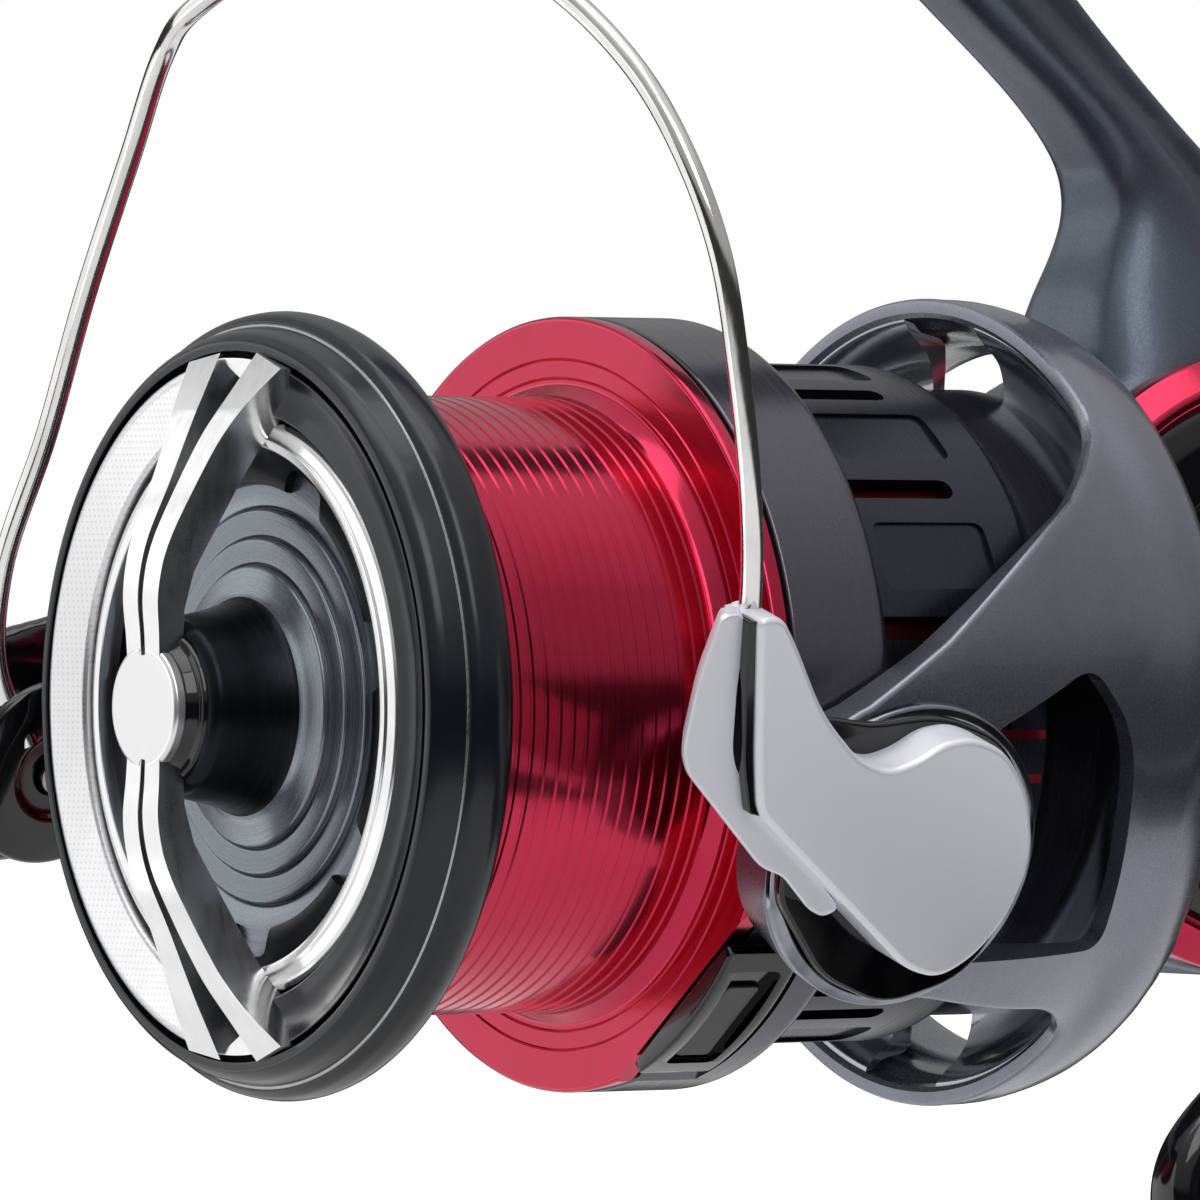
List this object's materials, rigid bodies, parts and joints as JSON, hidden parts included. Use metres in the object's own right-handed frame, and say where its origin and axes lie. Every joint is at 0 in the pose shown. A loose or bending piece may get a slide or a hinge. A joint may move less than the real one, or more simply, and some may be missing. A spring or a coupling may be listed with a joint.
{
  "type": "spinning reel",
  "caption": "Fixed-spool spinning reel: turning rotor with flip bail, sliding spool with drag knob, gear case with stem and foot, and a crank handle.",
  "frame": {"origin": "middle of the flat top face of the foot, where the reel meets the rod's reel seat", "axes": "+Z out of the foot toward the rod, -Y along the main shaft toward the spool front, +X to the handle side"},
  "size_m": [0.1079, 0.11, 0.099],
  "materials": {
    "red_anodised": "satin red anodised",
    "black_gloss": "gloss black",
    "charcoal": "satin charcoal",
    "gunmetal": "semi-gloss metallic gunmetal",
    "body_grey": "fine matt metallic grey",
    "chrome": "polished",
    "satin_silver": "satin silver",
    "steel": "turned steel",
    "brass": "cut brass",
    "carbon": "carbon fibre washer"
  },
  "bodies": {
    "body": {"reel_body": "body_grey", "side_cover": "black_gloss", "side_cover_ring": "red_anodised", "rear_cover": "black_gloss", "pinion_bearing": "steel", "clutch_cage": "steel", "clutch_race": "steel", "clutch_housing": "charcoal", "drive_bearing_near": "steel", "drive_bearing_far": "steel", "far_side_cap": "black_gloss", "slider_guide_rod": "steel", "cover_screw_1": "steel", "cover_screw_2": "steel", "cover_screw_3": "steel"},
    "drive": {"drive_gear": "brass", "drive_shaft": "steel", "oscillation_pinion": "brass", "handle_shank": "chrome", "handle_arm": "black_gloss", "handle_arm_cap": "black_gloss", "knob_spindle": "steel"},
    "handle_knob": {"handle_knob": "black_gloss", "handle_knob_cap": "red_anodised"},
    "rotor": {"rotor": "gunmetal", "pinion_gear": "brass", "rotor_nut": "steel", "clutch_sleeve": "steel", "bail_pivot_pin": "steel", "lever_pivot_screw": "chrome", "bail_spring": "steel"},
    "bail": {"bail_wire": "chrome", "bail_holder": "satin_silver", "line_roller_lever": "black_gloss", "wire_cone": "chrome", "line_roller_screw": "steel"},
    "line_roller": {"line_roller": "chrome", "line_roller_bearing": "steel"},
    "crank": {"oscillation_gear": "steel"},
    "main_shaft": {"main_shaft": "steel", "slider_block": "brass", "slider_screw": "steel", "spool_seat": "brass"},
    "spool": {"spool": "red_anodised", "spool_skirt": "charcoal", "spool_lip": "black_gloss", "line_clip": "black_gloss", "spool_bearing": "steel", "drag_washer_lower": "carbon", "drag_washer_eared": "steel", "drag_washer_upper": "carbon", "drag_retaining_ring": "steel", "click_ring": "steel"},
    "drag_knob": {"drag_knob": "charcoal", "drag_knob_trim": "chrome", "drag_knob_cap": "satin_silver", "drag_nut": "brass", "drag_spring": "steel"}
  },
  "joints": [
    {"name": "handle_turn", "type": "hinge", "parent": "body", "child": "drive", "pos_m": [0, 0.0325, -0.058], "axis": [1, 0, 0], "continuous": true},
    {"name": "knob_spin", "type": "hinge", "parent": "drive", "child": "handle_knob", "pos_m": [0, 0.00692, -0.09169], "axis": [1, 0, 0], "continuous": true},
    {"name": "rotor_spin", "type": "hinge", "parent": "body", "child": "rotor", "pos_m": [0, 0, -0.062], "axis": [0, 1, 0], "continuous": true},
    {"name": "bail_flip", "type": "hinge", "parent": "rotor", "child": "bail", "pos_m": [0, -0.01, -0.062], "axis": [0.9511, 0, -0.309], "range_deg": [0, 110]},
    {"name": "line_roller_spin", "type": "hinge", "parent": "bail", "child": "line_roller", "pos_m": [-0.00402, -0.037, -0.07436], "axis": [0.9511, 0, -0.309], "continuous": true},
    {"name": "oscillation_turn", "type": "hinge", "parent": "body", "child": "crank", "pos_m": [0, 0.04, -0.0665], "axis": [1, 0, 0], "continuous": true},
    {"name": "spool_stroke", "type": "slide", "parent": "body", "child": "main_shaft", "axis": [0, -1, 0], "range_m": [0, 0.013]},
    {"name": "spool_slip", "type": "hinge", "parent": "main_shaft", "child": "spool", "pos_m": [0, -0.017, -0.062], "axis": [0, 1, 0], "continuous": true},
    {"name": "drag_knob_turn", "type": "hinge", "parent": "main_shaft", "child": "drag_knob", "pos_m": [0, -0.04, -0.062], "axis": [0, 1, 0], "range_deg": [-540, 540]}
  ],
  "couplings": [
    {"joint": "rotor_spin", "follows": "handle_turn", "ratio": 5.25},
    {"joint": "oscillation_turn", "follows": "handle_turn", "ratio": -0.54545}
  ]
}
